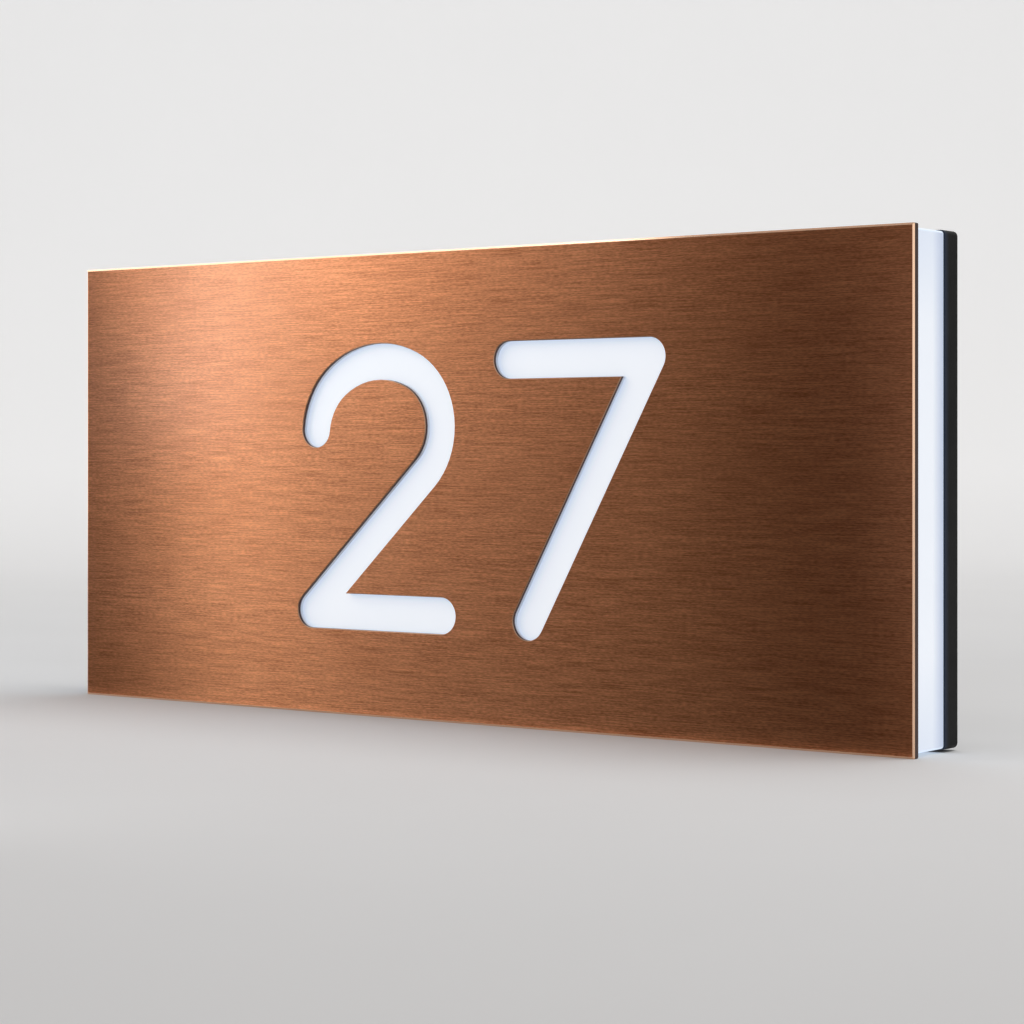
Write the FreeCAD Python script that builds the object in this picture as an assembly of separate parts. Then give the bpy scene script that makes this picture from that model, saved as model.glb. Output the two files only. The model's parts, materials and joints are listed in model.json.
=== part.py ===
"""House number sign, lit from inside: a copper face plate with the numerals 2 and 7 cut through,
on an opal hood that closes a shallow black back tray.

Frame: millimetres, +X to the right along the plate, +Z up, the face looks towards -Y.
The origin is the centre of the tray's rear face, which lies against the wall.
Depths are written from the wall outwards and turned into Y by a minus sign.
"""
import FreeCAD, Part
import math
import os

V = FreeCAD.Vector
UP = (0, 0, 1)
OUT = (0, -1, 0)

# Face plate
plate_length = 440.0
plate_height = 200.0
plate_thickness = 3.0
plate_corner = 0.6
plate_bevel_width = 0.8
plate_bevel_depth = 0.4

# Numerals, as the middle line of one round-ended stroke; X is measured from the plate's centre
stroke = 15.6
stroke_bevel = 0.3
digit_height = 123.3
digit_base = -62.9
overshoot = 0.7
two_crown_x = -39.6
two_crown_radius = 41.7
two_bowl_radius = 27.0
two_shoulder_radius = 30.0
two_bowl_from = 65.5
two_shoulder_from = 125.5
two_terminal_at = 174.4
two_foot_left = -78.9
two_foot_right = -6.0
seven_left = 30.1
seven_right = 100.5
seven_foot = 40.0

# Opal hood
cover_inset = 1.5
cover_depth = 23.0
cover_front = 3.0
cover_corner = 1.2
cover_rear_radius = 0.8
cavity_corner = 2.0
tongue_thickness = 2.3
tongue_clearance = 0.2
tongue_corner = 1.0
hook_length = 30.0
hook_width = 2.0
hook_height = 0.9
hook_clearance = 0.1

# Back tray
tray_inset = 1.0
tray_wall = 2.0
tray_floor = 2.0
tray_corner = 2.0
tray_edge_radius = 1.5
rib_thickness = 1.6
rib_height = 3.0
fixing_radius = 2.75
fixing_inset_x = 19.0
fixing_inset_z = 21.0
gasket_thickness = 1.5
gasket_width = 4.0

# Cable inlet in the middle of the tray
inlet_pocket_radius = 12.0
inlet_pocket_depth = 2.5
inlet_hole_radius = 5.5
grommet_lip = 2.5
grommet_lip_thickness = 1.5
grommet_wall = 1.5
grommet_membrane = 0.8

# Screws, studs and nuts
hole_clearance = 0.1
bore_clearance = 0.05
screw_radius = 1.5
screw_across_flats = 5.5
head_height = 2.0
lock_inset = 80.0
lock_edge = 3.0
lock_land = 4.5
lock_sink = 0.2
lock_socket = 1.5
lock_socket_depth = 1.2
stud_inset_x = 20.0
stud_inset_z = 16.0
stud_radius = 1.5
stud_end = 1.6
washer_width = 8.0
washer_thickness = 0.8
nut_across_flats = 5.5
nut_height = 2.4

# Light carrier and its boards
carrier_standoff = 8.5
carrier_thickness = 1.5
carrier_gap = 6.5
carrier_bend = 0.5
access_radius = 12.0
carrier_screw_inset = 58.0
carrier_screw_length = 7.0
boss_radius = 3.4
board_width = 10.0
board_thickness = 1.0
board_edge = 19.0
board_end_gap = 3.0
board_count = 5
light_pitch = 25.0
light_length = 3.5
light_width = 2.8
light_height = 0.8
light_end_gap = 5.0
strip_inset = 4.0
strip_width = 2.0
strip_thickness = 0.4

# Terminal block at the foot of the tray
block_length = 20.0
block_width = 12.0
block_depth = 15.0
block_edge_gap = 4.0
block_corner = 1.0
socket_wall = 1.6
socket_height = 3.0
socket_clearance = 0.1
block_notch_gap = 4.0
pole_spacing = 10.0
clamp_half = 2.2
clamp_bore_half = 1.1
clamp_screw_radius = 1.2
wire_radius = 0.6

# Half sizes of the nested outlines, from the outside in
tray_half_x = plate_length / 2 - tray_inset
tray_half_z = plate_height / 2 - tray_inset
well_half_x = tray_half_x - tray_wall
well_half_z = tray_half_z - tray_wall
cover_half_x = plate_length / 2 - cover_inset
cover_half_z = plate_height / 2 - cover_inset
tongue_half_x = well_half_x - tongue_clearance
tongue_half_z = well_half_z - tongue_clearance
cavity_half_x = tongue_half_x - tongue_thickness
cavity_half_z = tongue_half_z - tongue_thickness
carrier_half_x = cavity_half_x - carrier_gap
carrier_half_z = cavity_half_z - carrier_gap

# Depths from the wall outwards
tongue_end = tray_floor + gasket_thickness
lock_depth = tongue_end + lock_edge
tray_depth = lock_depth + lock_land
plate_back = tray_depth + cover_depth
plate_front = plate_back + plate_thickness
cavity_front = plate_back - cover_front
carrier_back = tray_floor + carrier_standoff
carrier_front = carrier_back + carrier_thickness
board_front = carrier_front + board_thickness
light_front = board_front + light_height
block_front = tray_floor + block_depth
wire_depth = carrier_front + wire_radius

# Places that several pieces share
fixing_x = tray_half_x - fixing_inset_x
fixing_z = tray_half_z - fixing_inset_z
stud_x = plate_length / 2 - stud_inset_x
stud_z = plate_height / 2 - stud_inset_z
lock_x = plate_length / 2 - lock_inset
top_board_z = carrier_half_z - board_edge - board_width / 2
board_pitch = 2 * top_board_z / (board_count - 1)
board_half_length = fixing_x - access_radius - board_end_gap
boss_x = carrier_half_x - carrier_screw_inset
boss_points = ((-boss_x, -board_pitch / 2), (boss_x, board_pitch / 2))
block_z = block_edge_gap + block_width / 2 - cavity_half_z
pole_xs = (-pole_spacing / 2, pole_spacing / 2)


def slab(half_x, half_z, back, front, corner):
    """A flat block round the origin between two depths, with its four corners rounded."""
    box = Part.makeBox(2 * half_x, front - back, 2 * half_z, V(-half_x, -front, -half_z))
    corners = [edge for edge in box.Edges if abs(edge.tangentAt(0).y) > 0.5]
    return box.makeFillet(corner, corners)


def block(centre_x, centre_z, half_x, half_z, back, front):
    """A plain block between two depths, centred on a point of the wall plane."""
    return Part.makeBox(
        2 * half_x, front - back, 2 * half_z, V(centre_x - half_x, -front, centre_z - half_z)
    )


def rod(radius, x, z, back, front):
    """A round rod that stands out from the wall between two depths."""
    return Part.makeCylinder(radius, front - back, V(x, -back, z), V(*OUT))


def hexagon(across_flats, height):
    """A hexagonal prism about +Z that starts at the origin."""
    reach = across_flats / math.sqrt(3)
    points = [
        V(reach * math.cos(math.radians(60 * i)), reach * math.sin(math.radians(60 * i)), 0)
        for i in range(7)
    ]
    return Part.Face(Part.makePolygon(points)).extrude(V(0, 0, height))


def hexagon_out(across_flats, x, z, back, front):
    """A hexagonal prism that stands out from the wall between two depths."""
    prism = hexagon(across_flats, front - back)
    turn = FreeCAD.Rotation(V(*UP), V(*OUT))
    prism.Placement = FreeCAD.Placement(V(x, -back, z), turn)
    return prism


def group(solids):
    """Like pieces that share one node, as separate solids."""
    return Part.makeCompound(solids)


def on_circle(centre, radius, degrees):
    """A point of the face plane on a circle round (x, z)."""
    angle = math.radians(degrees)
    return (centre[0] + radius * math.cos(angle), centre[1] + radius * math.sin(angle))


def face_point(point):
    """A point (x, z) set on the plate's front face."""
    return V(point[0], -plate_front, point[1])


def arc(centre, radius, start, end):
    """An arc on the plate's front face from one angle to another."""
    ends = [face_point(on_circle(centre, radius, a)) for a in (start, (start + end) / 2, end)]
    return Part.Arc(*ends).toShape()


def line(start, end):
    return Part.makeLine(face_point(start), face_point(end))


def inner_circle(centre, radius, inner_radius, degrees):
    """Centre of a smaller circle that touches a larger one from inside at an angle."""
    return on_circle(centre, radius - inner_radius, degrees)


def tangent_angle(centre, radius, point):
    """Angle on a circle at which the straight stroke towards a lower point leaves it."""
    dx = point[0] - centre[0]
    dz = point[1] - centre[1]
    towards = math.degrees(math.atan2(dz, dx))
    return towards + math.degrees(math.acos(radius / math.hypot(dx, dz)))


def path_of_two():
    """Shoulder, crown and bowl as three touching arcs, then a straight to the foot bar."""
    half = stroke / 2
    crown = (two_crown_x, digit_base + digit_height + overshoot - half - two_crown_radius)
    shoulder = inner_circle(crown, two_crown_radius, two_shoulder_radius, two_shoulder_from)
    bowl = inner_circle(crown, two_crown_radius, two_bowl_radius, two_bowl_from)
    foot_left = (two_foot_left, digit_base + half)
    foot_right = (two_foot_right, digit_base + half)
    leave = tangent_angle(bowl, two_bowl_radius, foot_left)
    return Part.Wire([
        arc(shoulder, two_shoulder_radius, two_terminal_at, two_shoulder_from),
        arc(crown, two_crown_radius, two_shoulder_from, two_bowl_from),
        arc(bowl, two_bowl_radius, two_bowl_from, leave),
        line(on_circle(bowl, two_bowl_radius, leave), foot_left),
        line(foot_left, foot_right),
    ])


def path_of_seven():
    """The top bar and the slanted stem."""
    bar_z = digit_base + digit_height - stroke / 2
    knee = (seven_right, bar_z)
    foot = (seven_foot, digit_base - overshoot + stroke / 2)
    return Part.Wire([line((seven_left, bar_z), knee), line(knee, foot)])


def numeral_hole(path):
    """The solid that a round-ended stroke along the path cuts from the plate."""
    outline = path.makeOffset2D(stroke / 2, 0, False, False, False)
    return Part.Face(outline).extrude(V(0, plate_thickness, 0))


def rectangle(half_x, half_z, depth):
    """A closed rectangular outline round the middle at one depth."""
    corners = [(-1, -1), (1, -1), (1, 1), (-1, 1), (-1, -1)]
    return Part.makePolygon([V(i * half_x, -depth, k * half_z) for i, k in corners])


def sloping_block():
    """A block with four slopes that meet the sheet's front edges as its shallow bevel."""
    slope = plate_bevel_width / plate_bevel_depth
    grow = (plate_thickness - plate_bevel_depth) * slope
    half_x = plate_length / 2
    half_z = plate_height / 2
    back = rectangle(half_x + grow, half_z + grow, plate_back)
    front = rectangle(half_x - plate_bevel_width, half_z - plate_bevel_width, plate_front)
    return Part.makeLoft([back, front], True, True)


def face_plate():
    """The copper sheet: numerals cut through, every edge of the front face bevelled."""
    sheet = slab(plate_length / 2, plate_height / 2, plate_back, plate_front, plate_corner)
    sheet = sheet.common(sloping_block()).Solids[0]
    sheet = sheet.cut([numeral_hole(path_of_two()), numeral_hole(path_of_seven())])
    reach_x = plate_length / 2 - 2 * plate_bevel_width
    reach_z = plate_height / 2 - 2 * plate_bevel_width
    hole_rims = [
        edge
        for edge in sheet.Edges
        if lies_at(edge, plate_front) and abs(edge.CenterOfMass.x) < reach_x
        and abs(edge.CenterOfMass.z) < reach_z
    ]
    return sheet.makeChamfer(stroke_bevel, hole_rims)


def lies_at(edge, depth):
    """True for an edge that lies wholly at one depth."""
    box = edge.BoundBox
    return max(abs(box.YMin + depth), abs(box.YMax + depth)) < 0.001


def mirrored(x, z):
    """The four points that mirror one point about the sign's middle."""
    return [(i * x, k * z) for i in (-1, 1) for k in (-1, 1)]


def face_studs():
    """Studs brazed to the plate's back."""
    tip = cavity_front - washer_thickness - nut_height - stud_end
    return group([rod(stud_radius, x, z, tip, plate_back) for x, z in mirrored(stud_x, stud_z)])


def stud_washers():
    """Square plate washers that spread the load on the hood."""
    seat = cavity_front - washer_thickness
    half = washer_width / 2
    washers = []
    for x, z in mirrored(stud_x, stud_z):
        hole = rod(stud_radius + bore_clearance, x, z, seat, cavity_front)
        washers.append(block(x, z, half, half, seat, cavity_front).cut(hole))
    return group(washers)


def stud_nuts():
    """Hexagon nuts behind the washers."""
    front = cavity_front - washer_thickness
    back = front - nut_height
    nuts = []
    for x, z in mirrored(stud_x, stud_z):
        hole = rod(stud_radius + bore_clearance, x, z, back, front)
        nuts.append(hexagon_out(nut_across_flats, x, z, back, front).cut(hole))
    return group(nuts)


def diffuser_cover():
    """The opal hood: front wall, side walls, and a stepped tongue that enters the tray."""
    outer = slab(cover_half_x, cover_half_z, tray_depth, plate_back, cover_corner)
    rear_rim = [edge for edge in outer.Edges if lies_at(edge, tray_depth)]
    outer = outer.makeFillet(cover_rear_radius, rear_rim)
    tongue = slab(tongue_half_x, tongue_half_z, tongue_end, tray_depth + cover_front, tongue_corner)
    cut = [slab(cavity_half_x, cavity_half_z, 0, cavity_front, cavity_corner)]
    for x, z in mirrored(stud_x, stud_z):
        cut.append(rod(stud_radius + hole_clearance, x, z, cavity_front, plate_back))
    for x in (-lock_x, lock_x):
        cut.append(lock_rod(screw_radius + hole_clearance, x, 0))
    return outer.fuse([tongue, hook_bar(-lock_x, 0), hook_bar(lock_x, 0)]).cut(cut)


def hook_bar(x, spare):
    """A bar on top of the tongue; with some spare all round, the tray's recess for it."""
    low = tongue_half_z - tongue_thickness / 2
    high = tongue_half_z + hook_height + spare
    half_width = hook_width / 2 + spare
    return block(
        x, (low + high) / 2, hook_length / 2 + spare, (high - low) / 2,
        lock_depth - half_width, lock_depth + half_width,
    )


def lock_rod(radius, x, sink):
    """A round rod up through the lower rim and the tongue, begun a little inside the rim."""
    low = sink - tray_half_z
    return Part.makeCylinder(radius, -cavity_half_z - low, V(x, -lock_depth, low), V(*UP))


def lock_screws():
    """Headless screws in the tray's lower rim whose ends enter the hood's tongue."""
    screws = []
    for x in (-lock_x, lock_x):
        socket = hexagon(lock_socket, lock_socket_depth)
        socket.translate(V(x, -lock_depth, lock_sink - tray_half_z))
        screws.append(lock_rod(screw_radius, x, lock_sink).cut(socket))
    return group(screws)


def rim_gasket():
    """A soft frame on the tray's floor that the tongue presses on."""
    outer = slab(tongue_half_x, tongue_half_z, tray_floor, tongue_end, tongue_corner)
    inner_x = tongue_half_x - gasket_width
    inner_z = tongue_half_z - gasket_width
    return outer.cut(block(0, 0, inner_x, inner_z, tray_floor, tongue_end))


def tray_shell():
    """The tray's rounded outer block with its well cut out."""
    outer = slab(tray_half_x, tray_half_z, 0, tray_depth, tray_corner)
    outer = outer.makeFillet(tray_edge_radius, [edge for edge in outer.Edges if lies_at(edge, 0)])
    return outer.cut(slab(well_half_x, well_half_z, tray_floor, tray_depth, tongue_corner))


def tray_ribs():
    """Low ribs on the floor: one through the cable pocket, one upright through each boss."""
    half = rib_thickness / 2
    top = tray_floor + rib_height
    uprights = [block(x, 0, half, top_board_z, 0, top) for x in (-boss_x, boss_x)]
    return [block(0, 0, boss_x, half, 0, top)] + uprights


def terminal_socket():
    """A low frame on the floor that the terminal block is pressed into."""
    half_x = block_length / 2 + socket_clearance
    half_z = block_width / 2 + socket_clearance
    top = tray_floor + socket_height
    outer = block(0, block_z, half_x + socket_wall, half_z + socket_wall, 0, top)
    return outer.cut(block(0, block_z, half_x, half_z, tray_floor, top))


def base_tray():
    """The cast back tray: rim, floor, ribs, two bosses, cable pocket and terminal socket."""
    dome_radius = inlet_pocket_radius + tray_floor
    dome_front = inlet_pocket_depth + tray_floor
    dome = rod(dome_radius, 0, 0, 0, dome_front)
    bosses = [rod(boss_radius, x, z, 0, carrier_back) for x, z in boss_points]
    shell = tray_shell().fuse(tray_ribs() + bosses + [terminal_socket()])
    # The rib through the pocket ends at the dome's wall, so that the grommet's lip lies flat
    shell = shell.cut(rod(dome_radius, 0, 0, dome_front, tray_floor + rib_height))
    pilot_back = carrier_front - carrier_screw_length
    cut = [rod(inlet_pocket_radius, 0, 0, 0, inlet_pocket_depth)]
    cut.append(rod(inlet_hole_radius, 0, 0, 0, dome_front))
    for x, z in mirrored(fixing_x, fixing_z):
        cut.append(rod(fixing_radius, x, z, 0, tray_floor))
    for x, z in boss_points:
        cut.append(rod(screw_radius + bore_clearance, x, z, pilot_back, carrier_back))
    for x in (-lock_x, lock_x):
        cut.append(lock_rod(screw_radius + bore_clearance, x, 0))
        cut.append(hook_bar(x, hook_clearance))
    return shell.fuse(dome).cut(cut)


def cable_grommet():
    """A closed membrane grommet whose groove grips the pocket's thin floor."""
    back = inlet_pocket_depth
    front = inlet_pocket_depth + tray_floor
    rear_lip = back - grommet_lip_thickness
    front_lip = front + grommet_lip_thickness
    lip = inlet_hole_radius + grommet_lip
    bore = inlet_hole_radius - grommet_wall
    outline = [
        (0, front_lip - grommet_membrane),
        (bore, front_lip - grommet_membrane),
        (bore, rear_lip),
        (lip, rear_lip),
        (lip, back),
        (inlet_hole_radius, back),
        (inlet_hole_radius, front),
        (lip, front),
        (lip, front_lip),
        (0, front_lip),
    ]
    points = [V(radius, -depth, 0) for radius, depth in outline + outline[:1]]
    return Part.Face(Part.makePolygon(points)).revolve(V(0, 0, 0), V(0, 1, 0), 360)


def lipped_sheet():
    """The carrier's sheet with its long edges bent back to stand on the tray's floor."""
    lip_z = carrier_half_z - carrier_thickness
    outer = block(0, 0, carrier_half_x, carrier_half_z, tray_floor, carrier_front)
    bends = [edge for edge in outer.Edges if lies_along_x(edge) and lies_at(edge, carrier_front)]
    outer = outer.makeFillet(carrier_bend + carrier_thickness, bends)
    inner = block(0, 0, carrier_half_x, lip_z, tray_floor, carrier_back)
    bends = [edge for edge in inner.Edges if lies_along_x(edge) and lies_at(edge, carrier_back)]
    return outer.cut(inner.makeFillet(carrier_bend, bends))


def lies_along_x(edge):
    return abs(edge.tangentAt(edge.FirstParameter).x) > 0.5


def led_carrier():
    """White coated sheet: notched round the wall screws and the terminal block."""
    notch_x = fixing_x - access_radius
    notch_z = fixing_z - access_radius
    half_x = (carrier_half_x - notch_x) / 2
    half_z = (carrier_half_z - notch_z) / 2
    cut = [
        block(x, z, half_x, half_z, tray_floor, carrier_front)
        for x, z in mirrored(notch_x + half_x, notch_z + half_z)
    ]
    half_x = block_length / 2 + block_notch_gap
    top = block_z + block_width / 2 + block_notch_gap
    half_z = (top + carrier_half_z) / 2
    cut.append(block(0, top - half_z, half_x, half_z, tray_floor, carrier_front))
    for x, z in boss_points:
        cut.append(rod(screw_radius + hole_clearance, x, z, carrier_back, carrier_front))
    return lipped_sheet().cut(cut)


def carrier_screws():
    """Hexagon head screws through the carrier into the tray's bosses."""
    tip = carrier_front - carrier_screw_length
    front = carrier_front + head_height
    screws = []
    for x, z in boss_points:
        head = hexagon_out(screw_across_flats, x, z, carrier_front, front)
        screws.append(head.fuse(rod(screw_radius, x, z, tip, carrier_front)))
    return group(screws)


def board_z(index):
    """Height of a board's middle line; board 0 is the lowest."""
    return index * board_pitch - top_board_z


def led_bar(index):
    return block(
        0, board_z(index), board_half_length, board_width / 2, carrier_front, board_front
    )


def lights(index):
    """A row of light packages along one board, centred on it."""
    gaps = int(2 * (board_half_length - light_end_gap) / light_pitch)
    first = -gaps * light_pitch / 2
    half_x = light_length / 2
    half_z = light_width / 2
    return group([
        block(first + i * light_pitch, board_z(index), half_x, half_z, board_front, light_front)
        for i in range(gaps + 1)
    ])


def link_strips():
    """Solder strips that bridge neighbouring boards, two at each end."""
    half_gap = (board_pitch - board_width) / 2
    outer = board_half_length - strip_inset
    inner = outer - 2 * strip_inset
    front = carrier_front + strip_thickness
    return group([
        block(x, board_z(i) + board_pitch / 2, strip_width / 2, half_gap, carrier_front, front)
        for i in range(board_count - 1)
        for x in (-outer, -inner, inner, outer)
    ])


def feed_wire(x):
    """A wire from inside a terminal clamp up to the lowest board."""
    top = board_z(0) - board_width / 2
    return Part.makeCylinder(wire_radius, top - block_z, V(x, -wire_depth, block_z), V(*UP))


def square_tube(x, half, low, high):
    """A square bar along Z at the wires' depth."""
    return Part.makeBox(
        2 * half, 2 * half, high - low, V(x - half, -wire_depth - half, low)
    )


def terminal_block():
    """A two-pole block with a clamp slot and a screw well for each pole."""
    body = block(0, block_z, block_length / 2, block_width / 2, tray_floor, block_front)
    body = body.makeChamfer(block_corner, [e for e in body.Edges if lies_at(e, block_front)])
    low = block_z - block_width / 2
    high = block_z + block_width / 2
    cut = []
    for x in pole_xs:
        cut.append(square_tube(x, clamp_half + bore_clearance, low, high))
        cut.append(rod(clamp_screw_radius + hole_clearance, x, block_z, wire_depth, block_front))
    return body.cut(cut)


def terminal_clamps():
    """Square brass clamps in the block that take the wires."""
    clamps = []
    low = block_z - block_width / 2 + block_corner
    high = block_z + block_width / 2 - block_corner
    for x in pole_xs:
        slot = square_tube(x, clamp_bore_half, low, high)
        front = wire_depth + clamp_half
        well = rod(clamp_screw_radius + bore_clearance, x, block_z, wire_depth, front)
        clamps.append(square_tube(x, clamp_half, low, high).cut([slot, well]))
    return group(clamps)


def terminal_screws():
    """Clamp screws whose tips press on the wires."""
    return group([
        rod(clamp_screw_radius, x, block_z, wire_depth + wire_radius, block_front - block_corner)
        for x in pole_xs
    ])


def all_pieces():
    """Every node of the sign by name."""
    pieces = {
        "face_plate": face_plate(),
        "face_studs": face_studs(),
        "stud_washers": stud_washers(),
        "stud_nuts": stud_nuts(),
        "diffuser_cover": diffuser_cover(),
        "lock_screws": lock_screws(),
        "rim_gasket": rim_gasket(),
        "base_tray": base_tray(),
        "cable_grommet": cable_grommet(),
        "led_carrier": led_carrier(),
        "carrier_screws": carrier_screws(),
        "terminal_block": terminal_block(),
        "terminal_clamps": terminal_clamps(),
        "terminal_screws": terminal_screws(),
        "feed_wire_red": feed_wire(pole_xs[0]),
        "feed_wire_black": feed_wire(pole_xs[1]),
        "link_strips": link_strips(),
    }
    for index in range(board_count):
        pieces[f"led_bar_{index + 1}"] = led_bar(index)
        pieces[f"leds_{index + 1}"] = lights(index)
    return pieces


os.makedirs("parts", exist_ok=True)
for name, shape in all_pieces().items():
    shape.exportStep(f"parts/{name}.step")
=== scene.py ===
"""Looks of the lit house number sign: copper face, opal hood and black tray on a pale floor.

Metres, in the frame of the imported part: +X to the right, +Z up, the numerals face -Y.
"""
import json
import math

import bpy
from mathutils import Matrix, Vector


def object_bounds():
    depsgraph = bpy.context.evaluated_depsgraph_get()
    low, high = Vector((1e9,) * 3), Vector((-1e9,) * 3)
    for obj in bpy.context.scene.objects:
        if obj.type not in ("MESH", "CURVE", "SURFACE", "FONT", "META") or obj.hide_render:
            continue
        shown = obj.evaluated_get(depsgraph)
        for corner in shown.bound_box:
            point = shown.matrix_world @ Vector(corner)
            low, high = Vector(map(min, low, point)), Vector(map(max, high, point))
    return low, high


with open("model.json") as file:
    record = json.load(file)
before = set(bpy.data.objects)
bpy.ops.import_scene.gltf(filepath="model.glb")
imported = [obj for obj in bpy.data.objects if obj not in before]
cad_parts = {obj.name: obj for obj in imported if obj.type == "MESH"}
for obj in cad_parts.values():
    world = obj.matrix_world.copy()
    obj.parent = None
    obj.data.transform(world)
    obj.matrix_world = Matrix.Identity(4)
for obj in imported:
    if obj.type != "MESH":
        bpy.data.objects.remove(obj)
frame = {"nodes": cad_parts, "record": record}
cad_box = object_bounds()

MM = 0.001
half_length = cad_box[1].x
half_height = cad_box[1].z
floor_z = cad_box[0].z
plate_back_y = cad_box[0].y + 3 * MM
tray_front_y = -11 * MM
camera_turn = math.radians(37.24)

# The surroundings have a dark band: from its bearing it is full to the inner angle, gone at the outer
world_level = 0.5
dim_colour = (0.08, 0.043, 0.026, 1)
dim_bearing = math.radians(38)
dim_inner = math.radians(24)
dim_outer = math.radians(50)

# Name, place, target, width, height and radiance of the large lamps
strip_lamp = ("strip", (-0.604, -0.6, 0.422), (-0.604, 0, 0.422), 0.06, 0.82, 11.8)
soft_lamps = (
    ("bar", (-1.16, -0.6, 1.03), (-1.16, -0.04, 0.08), 1.08, 0.26, 1.9),
    ("bar_end", (-0.31, -0.6, 1.03), (-0.31, -0.04, 0.08), 0.62, 0.26, 0.5),
    ("right_soft", (0.035, -0.42, 0.02), (0.035, 0, 0.02), 0.05, 0.22, 0.75),
    ("top", (0.4, 0.25, 1.5), (0.4, 0.1, 0), 1.4, 1.1, 3.0),
    ("side", (1.9, -1.45, 0.5), (0.2, 0, 0), 0.7, 1.2, 0.4),
    ("front", (1.05, -1.85, 0.2), (0.22, -0.04, 0), 0.5, 1.0, 0.56),
    ("left_edge", (-2.0, 0.26, 0.1), (-0.22, -0.04, 0), 0.5, 1.0, 0.65),
)
strip_colour = (0.90, 1.02, 1.11)
strip_lean = -0.22

# Left end, right end and radiance of the small lamps in a row before and above the plate's top
upper_lamps = (
    (-0.203, -0.135, 2.0),
    (-0.135, -0.09, 1.65),
    (-0.09, -0.045, 1.15),
    (-0.045, 0.0, 0.73),
    (0.0, 0.068, 0.5),
    (0.068, 0.153, 0.33),
    (-0.338, -0.299, 1.8),
)
upper_y = -0.15
upper_z = 0.165
upper_height = 0.07


def new_material(name):
    """A node material and its shader."""
    material = bpy.data.materials.new(name)
    material.use_nodes = True
    return material, material.node_tree.nodes["Principled BSDF"]


def node(owner, kind, inputs=None, **settings):
    """Adds one node: settings are its properties, inputs its sockets' values or links."""
    made = owner.node_tree.nodes.new(kind)
    for name, value in settings.items():
        setattr(made, name, value)
    for name, value in (inputs or {}).items():
        if isinstance(value, bpy.types.NodeSocket):
            owner.node_tree.links.new(value, made.inputs[name])
        else:
            made.inputs[name].default_value = value
    return made


def link(owner, output, target):
    owner.node_tree.links.new(output, target)


def grey(level):
    return (level, level, level, 1)


def object_point(material):
    """The point on the object, in metres."""
    return node(material, "ShaderNodeTexCoord").outputs["Object"]


def split(owner, vector):
    """A vector's three parts, by name."""
    return node(owner, "ShaderNodeSeparateXYZ", {0: vector}).outputs


def face_normal(material):
    """The direction that the flat face looks in, without any bump."""
    return node(material, "ShaderNodeNewGeometry").outputs["True Normal"]


def noise(material, scale, detail, roughness):
    """Noise from 0 to 1 whose grain along each axis is one over the scale, in metres."""
    scaled = node(
        material, "ShaderNodeVectorMath", {0: object_point(material), 1: scale},
        operation="MULTIPLY",
    )
    made = node(
        material, "ShaderNodeTexNoise",
        {"Vector": scaled.outputs[0], "Scale": 1.0, "Detail": detail, "Roughness": roughness},
    )
    return made.outputs[0]


def spread(material, value, low, high, to_low=0.0, to_high=1.0):
    """A value taken from one range to another, held at its ends."""
    made = node(
        material, "ShaderNodeMapRange",
        {"Value": value, "From Min": low, "From Max": high, "To Min": to_low, "To Max": to_high},
        clamp=True,
    )
    return made.outputs[0]


def blend(owner, share, first, second):
    """A colour between two, by a share from 0 to 1."""
    made = node(owner, "ShaderNodeMix", {0: share, 6: first, 7: second}, data_type="RGBA")
    return made.outputs[2]


def between(material, share, first, second):
    """A number between two, by a share from 0 to 1."""
    return node(material, "ShaderNodeMix", {0: share, 2: first, 3: second}).outputs[0]


def calc(owner, operation, first, second):
    made = node(owner, "ShaderNodeMath", {0: first, 1: second}, operation=operation)
    return made.outputs[0]


def size_of(owner, value):
    """A number without its sign."""
    return node(owner, "ShaderNodeMath", {0: value}, operation="ABSOLUTE").outputs[0]


def dot(owner, vector, axis):
    made = node(owner, "ShaderNodeVectorMath", {0: vector, 1: axis}, operation="DOT_PRODUCT")
    return made.outputs["Value"]


def add_bump(material, shader, height, distance):
    """Lets the shader see a height, as deep in metres as the distance."""
    made = node(material, "ShaderNodeBump", {"Height": height, "Distance": distance})
    link(material, made.outputs[0], shader.inputs["Normal"])


def painted_opal_light_on_wall(material):
    """1 on the last of the cut walls' depth, where the opal's light is painted on; 0 on the sheet's
    outer sides.
    """
    parts = split(material, object_point(material))
    deep = spread(material, parts["Y"], plate_back_y - 1.75 * MM, plate_back_y - 1.05 * MM)
    for axis, half in (("X", half_length), ("Z", half_height)):
        inside = calc(material, "LESS_THAN", size_of(material, parts[axis]), 0.9 * half)
        deep = calc(material, "MULTIPLY", deep, inside)
    return deep


def brush_lines(material):
    """Height of the brush lines along X: fine ones, long and short, over some broad ones."""
    fine_share = 0.46
    broad_share = 0.2
    long_line = noise(material, (56, 56, 2200), 1, 0.6)
    short_line = noise(material, (430, 430, 2200), 1, 0.6)
    broad_line = noise(material, (40, 40, 600), 1.5, 0.5)
    fine = calc(material, "MULTIPLY", calc(material, "ADD", long_line, short_line), fine_share)
    return calc(material, "ADD", fine, calc(material, "MULTIPLY", broad_line, broad_share))


def copper_colour(material, lines, flat, rim, wall):
    """Brushed tones with faint clouds on the flat; bevels and cut rims have their own. The cut walls
    are painted dark as shade, with the opal's light painted near-white on their back part.
    """
    cloud = noise(material, (8, 9, 40), 2, 0.5)
    brushed = blend(material, spread(material, lines, 0.42, 0.70),
                    (0.53, 0.175, 0.070, 1), (0.97, 0.405, 0.19, 1))
    brushed = blend(material, spread(material, cloud, 0.35, 0.65, 0.0, 0.18), brushed,
                    (0.66, 0.245, 0.105, 1))
    edge = blend(material, rim, (0.95, 0.62, 0.42, 1), (0.80, 0.48, 0.32, 1))
    # Painted shade: cut walls dark brown; painted light: near-white where the opal would light them
    cut = blend(material, painted_opal_light_on_wall(material), (0.10, 0.042, 0.028, 1), (0.93, 0.94, 0.96, 1))
    return blend(material, wall, blend(material, flat, edge, brushed), cut)


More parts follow.
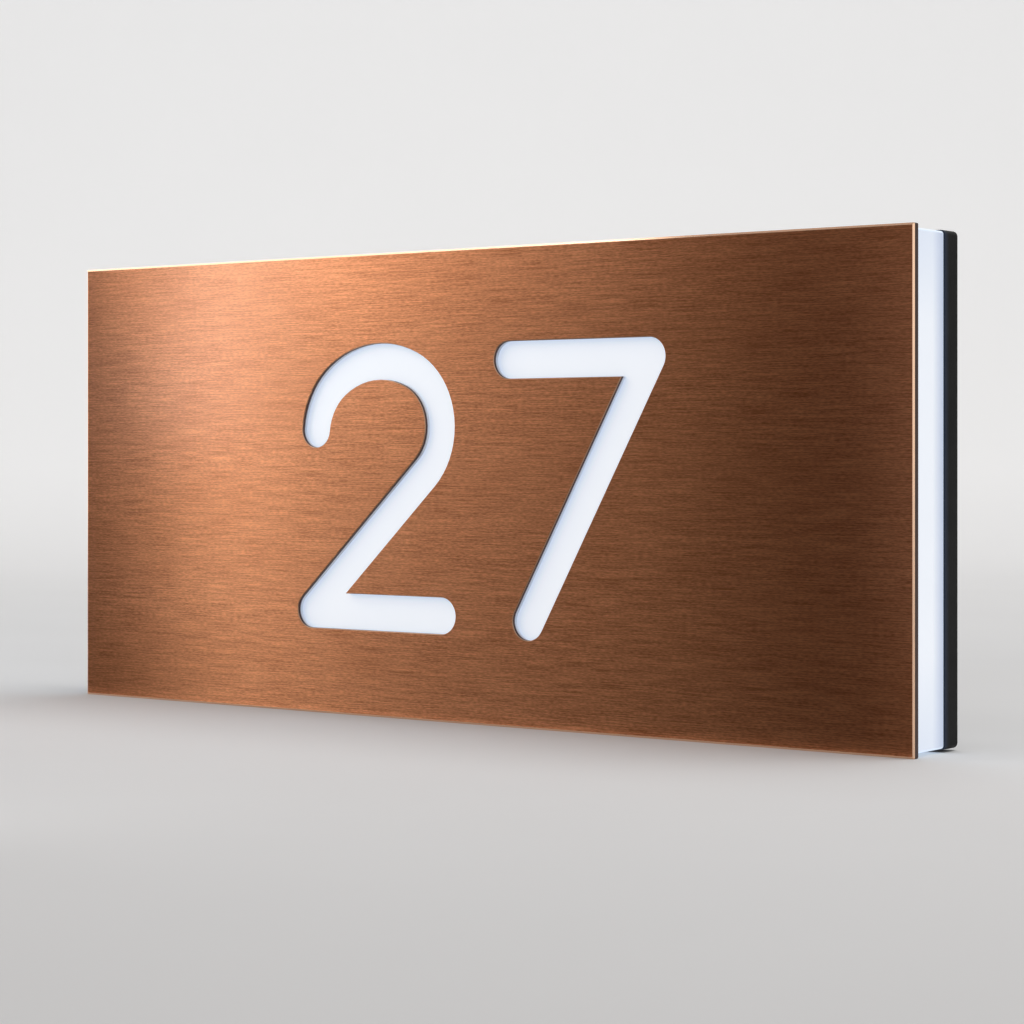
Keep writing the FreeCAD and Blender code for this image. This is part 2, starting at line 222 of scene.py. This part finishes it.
def copper_roughness(material, lines, flat, rim, wall):
    """Bevels are polished, cut rims and walls dull, and the flat is brushed."""
    bevel_rough = 0.12
    rim_rough = 0.45
    wall_rough = 0.5
    edge = spread(material, rim, 0.0, 1.0, bevel_rough, rim_rough)
    brushed = spread(material, lines, 0.37, 0.77, 0.36, 0.41)
    return between(material, wall, between(material, flat, edge, brushed), wall_rough)


def brushed_copper():
    """Copper sheet, brushed along X and lacquered."""
    material, shader = new_material("brushed_copper")
    lines = brush_lines(material)
    # The flat front looks along -Y, the outer bevels lean a little from it, the cut rims more
    facing = split(material, face_normal(material))["Y"]
    flat = spread(material, facing, -0.95, -0.9, 1.0, 0.0)
    rim = spread(material, facing, -0.85, -0.75)
    wall = spread(material, facing, -0.5, -0.3)
    link(material, copper_colour(material, lines, flat, rim, wall), shader.inputs["Base Color"])
    rough = copper_roughness(material, lines, flat, rim, wall)
    link(material, rough, shader.inputs["Roughness"])
    shader.inputs["Metallic"].default_value = 1.0
    # The brush lines spread light up and down far more than sideways
    shader.inputs["Anisotropic"].default_value = 1.0
    shader.inputs["Anisotropic Rotation"].default_value = 0.25
    tangent = node(material, "ShaderNodeTangent", direction_type="RADIAL", axis="Z")
    link(material, tangent.outputs[0], shader.inputs["Tangent"])
    shader.inputs["Coat Weight"].default_value = 0.35
    shader.inputs["Coat Roughness"].default_value = 0.2
    add_bump(material, shader, calc(material, "MULTIPLY", lines, flat), 0.03 * MM)
    return material


def side_glow_with_painted_shade(material, parts):
    """Glow of the hood's sides with painted shade: bluer and dimmer towards top, bottom and tray,
    with a thin paler line painted as a highlight along the rear rim and the ends.
    """
    height = size_of(material, parts["Z"])
    # Painted shade: dimmer and bluer towards the top and bottom ends and beside the tray
    near_end = spread(material, height, 62 * MM, 98 * MM, 0.0, 0.7)
    painted_shade_by_tray = spread(material, parts["Y"], tray_front_y - 9 * MM, tray_front_y - 1 * MM)
    # Painted highlight: a thin paler line along the rear rim and along the top and bottom ends
    painted_highlight_rear = spread(material, parts["Y"], tray_front_y - 1.2 * MM, tray_front_y - 0.7 * MM)
    painted_highlight_ends = spread(material, height, half_height - 2.6 * MM, half_height - 2.2 * MM)
    painted_highlight_line = calc(material, "MAXIMUM", painted_highlight_rear, painted_highlight_ends)
    glow = blend(material, near_end, (0.61, 0.65, 0.72, 1), (0.45, 0.52, 0.65, 1))
    glow = blend(material, painted_shade_by_tray, glow, (0.28, 0.35, 0.51, 1))
    return blend(material, painted_highlight_line, glow, (0.50, 0.60, 0.74, 1))


def front_glow_with_painted_shade(material, normal):
    """Glow of the hood's front with painted shade: bluer and dimmer below and right of the cut edges
    in front of it.
    """
    leaning = node(material, "ShaderNodeVectorMath", {0: normal, 1: (-0.5, 0, 0.4)},
                   operation="ADD").outputs[0]
    # Painted shade: dimmer and bluer where the cut walls above and to the left would shade the opal
    occlusion_for_painted_shade = node(material, "ShaderNodeAmbientOcclusion",
                      {"Distance": 14 * MM, "Normal": leaning}, samples=8).outputs["AO"]
    share_clear_of_painted_shade = spread(material, occlusion_for_painted_shade, 0.35, 0.88)
    return blend(material, share_clear_of_painted_shade, (0.44, 0.53, 0.69, 1), (0.683, 0.715, 0.775, 1))


def opal():
    """Opal acrylic lit from behind."""
    material, shader = new_material("opal_acrylic")
    parts = split(material, object_point(material))
    normal = face_normal(material)
    sideways = spread(material, split(material, normal)["Y"], -0.9, -0.6)
    glow = blend(material, sideways, front_glow_with_painted_shade(material, normal), side_glow_with_painted_shade(material, parts))
    link(material, glow, shader.inputs["Emission Color"])
    shader.inputs["Emission Strength"].default_value = 1.0
    mottle = noise(material, (60, 60, 60), 2, 0.5)
    base = blend(material, mottle, (0.32, 0.315, 0.30, 1), (0.36, 0.355, 0.34, 1))
    link(material, base, shader.inputs["Base Color"])
    shader.inputs["Roughness"].default_value = 0.3
    add_bump(material, shader, noise(material, (1500, 1500, 1500), 2, 0.5), 0.01 * MM)
    return material


def powder_coat(name, dark, light, roughness, gloss):
    """A sprayed coat with fine orange peel and a slight speckle, and its shader."""
    material, shader = new_material(name)
    patch = noise(material, (90, 90, 90), 3, 0.5)
    peel = noise(material, (1400, 1400, 1400), 2, 0.5)
    speckle = calc(material, "MULTIPLY", calc(material, "ADD", patch, peel), 0.5)
    colour = blend(material, spread(material, speckle, 0.38, 0.62), dark, light)
    link(material, colour, shader.inputs["Base Color"])
    rough = spread(material, peel, 0.3, 0.7, roughness - 0.05, roughness + 0.06)
    link(material, rough, shader.inputs["Roughness"])
    shader.inputs["Specular IOR Level"].default_value = gloss
    add_bump(material, shader, peel, 0.06 * MM)
    return material, shader


def black_coat():
    """Satin black coat with a little of the hood's light painted on its front rim as a glow."""
    material, shader = powder_coat("black_coat", grey(0.003), grey(0.010), 0.42, 0.08)
    deep = split(material, object_point(material))["Y"]
    # Painted light: a faint blue glow on the tray's front rim, fading back from the hood
    painted_hood_glow = spread(material, deep, tray_front_y, tray_front_y + 3 * MM, 0.035, 0.0)
    shader.inputs["Emission Color"].default_value = (0.35, 0.52, 1.0, 1)
    link(material, painted_hood_glow, shader.inputs["Emission Strength"])
    return material


def grained(name, dark, light, roughness, swing, grain, depth):
    """A material whose tone, roughness and height follow one noise, and its shader."""
    material, shader = new_material(name)
    patch = noise(material, grain, 3, 0.6)
    link(material, blend(material, patch, dark, light), shader.inputs["Base Color"])
    rough = spread(material, patch, 0.3, 0.7, roughness - swing, roughness + swing)
    link(material, rough, shader.inputs["Roughness"])
    add_bump(material, shader, patch, depth)
    return material, shader


def plastic(name, dark, light, roughness, grain):
    """Moulded plastic, rubber or a wire's cover, with a soft variation of tone."""
    return grained(name, dark, light, roughness, 0.06, (grain, grain, grain), 0.03 * MM)[0]


def metal(name, dark, light, roughness, grain):
    """Turned or drawn metal with fine lines."""
    material, shader = grained(name, dark, light, roughness, 0.08, grain, 0.02 * MM)
    shader.inputs["Metallic"].default_value = 1.0
    return material


def make_looks():
    """A material for each slot of the record."""
    drawn = (300, 3000, 300)
    return {
        "brushed_copper": brushed_copper(),
        "copper_stud": metal("copper_stud", (0.5, 0.24, 0.14, 1), (0.72, 0.4, 0.26, 1), 0.35,
                             drawn),
        "opal_acrylic": opal(),
        "black_coat": black_coat(),
        "white_coat": powder_coat("white_coat", grey(0.8), grey(0.86), 0.5, 0.4)[0],
        "board_white": plastic("board_white", grey(0.78), grey(0.84), 0.4, 300),
        "light_package": plastic("light_package", (0.8, 0.68, 0.2, 1), (0.9, 0.8, 0.3, 1), 0.3,
                                 900),
        "silicone": plastic("silicone", grey(0.24), grey(0.33), 0.7, 900),
        "black_rubber": plastic("black_rubber", grey(0.015), grey(0.03), 0.7, 600),
        "steel": metal("steel", grey(0.45), grey(0.7), 0.3, (600, 600, 3000)),
        "black_screw": metal("black_screw", grey(0.02), grey(0.05), 0.4, (900, 900, 900)),
        "clamp_brass": metal("clamp_brass", (0.6, 0.42, 0.18, 1), (0.8, 0.6, 0.3, 1), 0.32,
                             drawn),
        "tinned_copper": metal("tinned_copper", grey(0.5), grey(0.72), 0.35, (900, 900, 300)),
        "terminal_body": plastic("terminal_body", grey(0.72), grey(0.8), 0.45, 500),
        "wire_red": plastic("wire_red", (0.4, 0.02, 0.015, 1), (0.55, 0.035, 0.03, 1), 0.4, 700),
        "wire_black": plastic("wire_black", grey(0.015), grey(0.03), 0.4, 700),
    }


def paint_nodes():
    """Each CAD node takes the material of its slot in the record."""
    looks = make_looks()
    for row in frame["record"]["subparts"]:
        piece = frame["nodes"][row["node"]]
        piece.data.materials.clear()
        piece.data.materials.append(looks[row["material_slot"]])


def add_stage(name, points, faces, material):
    """A mesh that belongs to the studio and not to the sign."""
    mesh = bpy.data.meshes.new(name)
    mesh.from_pydata(points, [], faces)
    mesh.materials.append(material)
    made = bpy.data.objects.new(name, mesh)
    bpy.context.scene.collection.objects.link(made)
    return made


def pale_floor(along):
    """Pale matt floor whose far part glows a little, to camera, gloss and glass rays alone."""
    material, shader = new_material("pale_floor")
    patch = noise(material, (6, 6, 6), 3, 0.5)
    link(material, blend(material, patch, grey(0.76), grey(0.79)), shader.inputs["Base Color"])
    shader.inputs["Roughness"].default_value = 0.9
    shader.inputs["Specular IOR Level"].default_value = 0.0
    distance = dot(material, object_point(material), (*along, 0))
    glow = spread(material, distance, 0.3, 1.7, 0.0, 0.4)
    rays = node(material, "ShaderNodeLightPath").outputs
    seen = calc(material, "ADD", rays["Is Camera Ray"], rays["Is Glossy Ray"])
    seen = calc(material, "ADD", seen, rays["Is Transmission Ray"])
    shader.inputs["Emission Color"].default_value = grey(1.0)
    link(material, calc(material, "MULTIPLY", glow, seen), shader.inputs["Emission Strength"])
    return material


def make_floor():
    """A large pale floor that bends up into a backdrop behind the sign."""
    half_width = 3.0
    near_end = -3.6
    backdrop = 2.2
    backdrop_top = 3.5
    bend = 0.9
    bend_steps = 16
    profile = [(near_end, 0.0), (backdrop - bend, 0.0)]
    for step in range(1, bend_steps + 1):
        angle = math.pi / 2 * step / bend_steps
        profile.append((backdrop - bend + bend * math.sin(angle), bend - bend * math.cos(angle)))
    profile.append((backdrop, backdrop_top))
    along = (-math.sin(camera_turn), math.cos(camera_turn))
    across = (math.cos(camera_turn), math.sin(camera_turn))
    points = [
        (along[0] * distance + across[0] * side, along[1] * distance + across[1] * side,
         floor_z + height)
        for distance, height in profile
        for side in (-half_width, half_width)
    ]
    faces = [(2 * i, 2 * i + 1, 2 * i + 3, 2 * i + 2) for i in range(len(profile) - 1)]
    floor = add_stage("floor", points, faces, pale_floor(along))
    for face in floor.data.polygons:
        face.use_smooth = True


def make_world():
    """Pale surroundings; towards the left front, an upright dark warm band for reflections."""
    world = bpy.data.worlds.new("studio")
    world.use_nodes = True
    towards = node(world, "ShaderNodeTexCoord").outputs["Generated"]
    ahead = dot(world, towards, (-math.sin(dim_bearing), -math.cos(dim_bearing), 0))
    beside = dot(world, towards, (math.cos(dim_bearing), -math.sin(dim_bearing), 0))
    reach = node(world, "ShaderNodeMapRange",
                 {"Value": size_of(world, beside), "From Min": math.sin(dim_outer),
                  "From Max": math.sin(dim_inner)},
                 interpolation_type="SMOOTHSTEP").outputs[0]
    share = calc(world, "MULTIPLY", reach, calc(world, "GREATER_THAN", ahead, 0.0))
    seen = node(world, "ShaderNodeLightPath").outputs["Is Camera Ray"]
    share = calc(world, "MULTIPLY", share, calc(world, "SUBTRACT", 1.0, seen))
    colour = blend(world, share, grey(world_level), dim_colour)
    link(world, colour, world.node_tree.nodes["Background"].inputs["Color"])
    bpy.context.scene.world = world


def area_light(name, place, target, width, height, radiance):
    """A soft rectangular lamp that points at a target and looks as bright as its radiance."""
    lamp = bpy.data.lights.new(name, "AREA")
    lamp.shape = "RECTANGLE"
    lamp.size = width
    lamp.size_y = height
    lamp.energy = radiance * math.pi * width * height
    made = bpy.data.objects.new(name, lamp)
    bpy.context.scene.collection.objects.link(made)
    made.location = place
    direction = Vector(target) - made.location
    made.rotation_euler = direction.to_track_quat("-Z", "Y").to_euler()
    made.visible_camera = False
    return made


def make_lights():
    """A tall leaning strip at the left front, a row of small lamps, two bars and soft boxes."""
    strip = area_light(*strip_lamp)
    strip.rotation_euler.rotate_axis("Z", strip_lean)
    strip.data.color = strip_colour
    for start, stop, radiance in upper_lamps:
        middle = (start + stop) / 2
        area_light("upper", (middle, upper_y, upper_z), (middle, 0, upper_z), stop - start,
                   upper_height, radiance)
    for lamp in soft_lamps:
        area_light(*lamp)


def make_card():
    """A bent dark card in front of the sign that only its reflections see."""
    left = -0.36
    left_on_floor = -0.9
    right = 0.22
    low = floor_z + 0.5 * MM
    high = 0.4
    far = -0.45
    near = -0.04
    points = [
        (left, far, high), (right, far, high),
        (left, far, low), (right, far, low),
        (left_on_floor, near, low), (right, near, low), (left_on_floor, far, low),
    ]
    material, shader = new_material("card_dark")
    shader.inputs["Base Color"].default_value = (0.035, 0.023, 0.017, 1)
    shader.inputs["Roughness"].default_value = 0.9
    card = add_stage("dark_card", points, [(0, 1, 3, 2), (6, 2, 3, 5, 4)], material)
    card.visible_camera = False
    card.visible_diffuse = False
    card.visible_shadow = False
    card.visible_transmission = False


def make_camera():
    """The photograph's view: level, from the sign's right front, its frame a little low."""
    camera = bpy.data.cameras.new("camera")
    camera.lens = 94.0
    camera.sensor_width = 36.0
    camera.shift_y = -0.0611
    made = bpy.data.objects.new("camera", camera)
    bpy.context.scene.collection.objects.link(made)
    made.location = (0.7029, -0.9197, 0.0154)
    made.rotation_euler = (math.pi / 2, 0, camera_turn)
    bpy.context.scene.camera = made


paint_nodes()
make_floor()
make_world()
make_lights()
make_card()
make_camera()
bpy.context.scene.view_settings.view_transform = "Standard"
